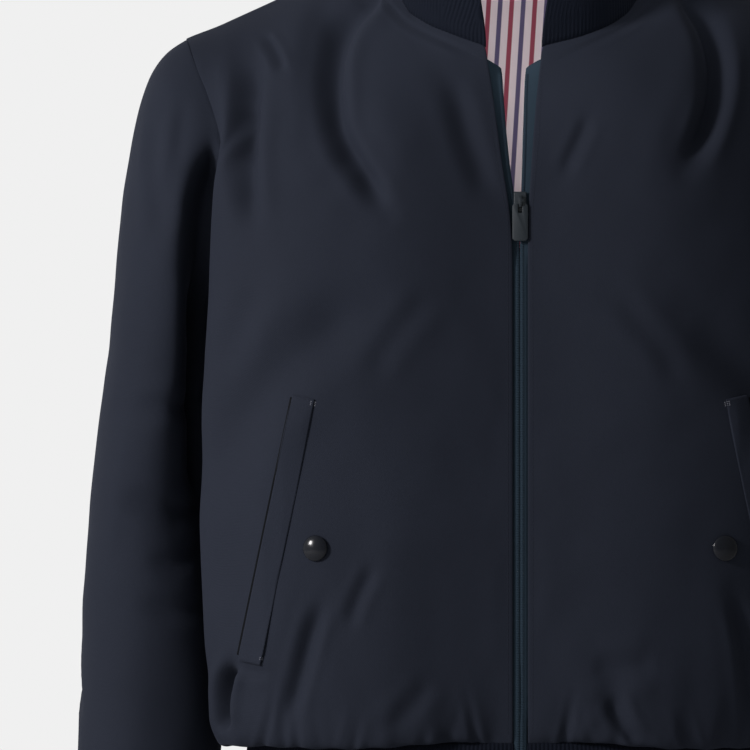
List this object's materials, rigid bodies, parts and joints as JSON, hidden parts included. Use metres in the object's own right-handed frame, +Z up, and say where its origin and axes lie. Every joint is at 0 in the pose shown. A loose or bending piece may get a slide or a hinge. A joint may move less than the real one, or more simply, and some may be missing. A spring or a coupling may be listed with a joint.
{
  "type": "bomber_jacket",
  "caption": "Dark wool bomber jacket, worn shape and hollow, with rib collar, cuffs and hem band, front zip with a hanging pull, slanted snap pockets and a striped back lining",
  "frame": {"origin": "The middle of the neck hole, level with the points where the shoulder seams meet the collar.", "axes": "+Z is up. The front with the zip faces -Y. The wearer's right sleeve is at -X, the left sleeve at +X."},
  "size_m": [0.6012, 0.2852, 0.792],
  "materials": {
    "wool_cloth": "matt fine wool twill, very dark navy grey",
    "rib_knit": "matt rib knit, near black navy",
    "zip_tape": "woven tape with a reversed coil, dark teal navy",
    "dark_metal": "matt dark paint",
    "glossy_black": "glossy black enamel cap",
    "striped_lining": "plain woven shirting, white with red and navy stripes"
  },
  "bodies": {
    "jacket": {"front_left": "wool_cloth", "front_right": "wool_cloth", "back": "wool_cloth", "sleeve_left": "wool_cloth", "sleeve_right": "wool_cloth", "collar": "rib_knit", "cuff_left": "rib_knit", "cuff_right": "rib_knit", "hem_band": "rib_knit", "welt_left": "wool_cloth", "welt_right": "wool_cloth", "snap_left": "glossy_black", "snap_right": "glossy_black", "zip_tape_left": "zip_tape", "zip_tape_right": "zip_tape", "zip_box": "dark_metal", "zip_slider": "dark_metal", "lining_back": "striped_lining"},
    "zip_pull": {"zip_pull": "dark_metal"}
  },
  "joints": [
    {"name": "pull_swing", "type": "hinge", "parent": "jacket", "child": "zip_pull", "pos_m": [0, -0.12391, -0.17903], "axis": [-1, 0, 0], "range_deg": [0, 170]}
  ]
}
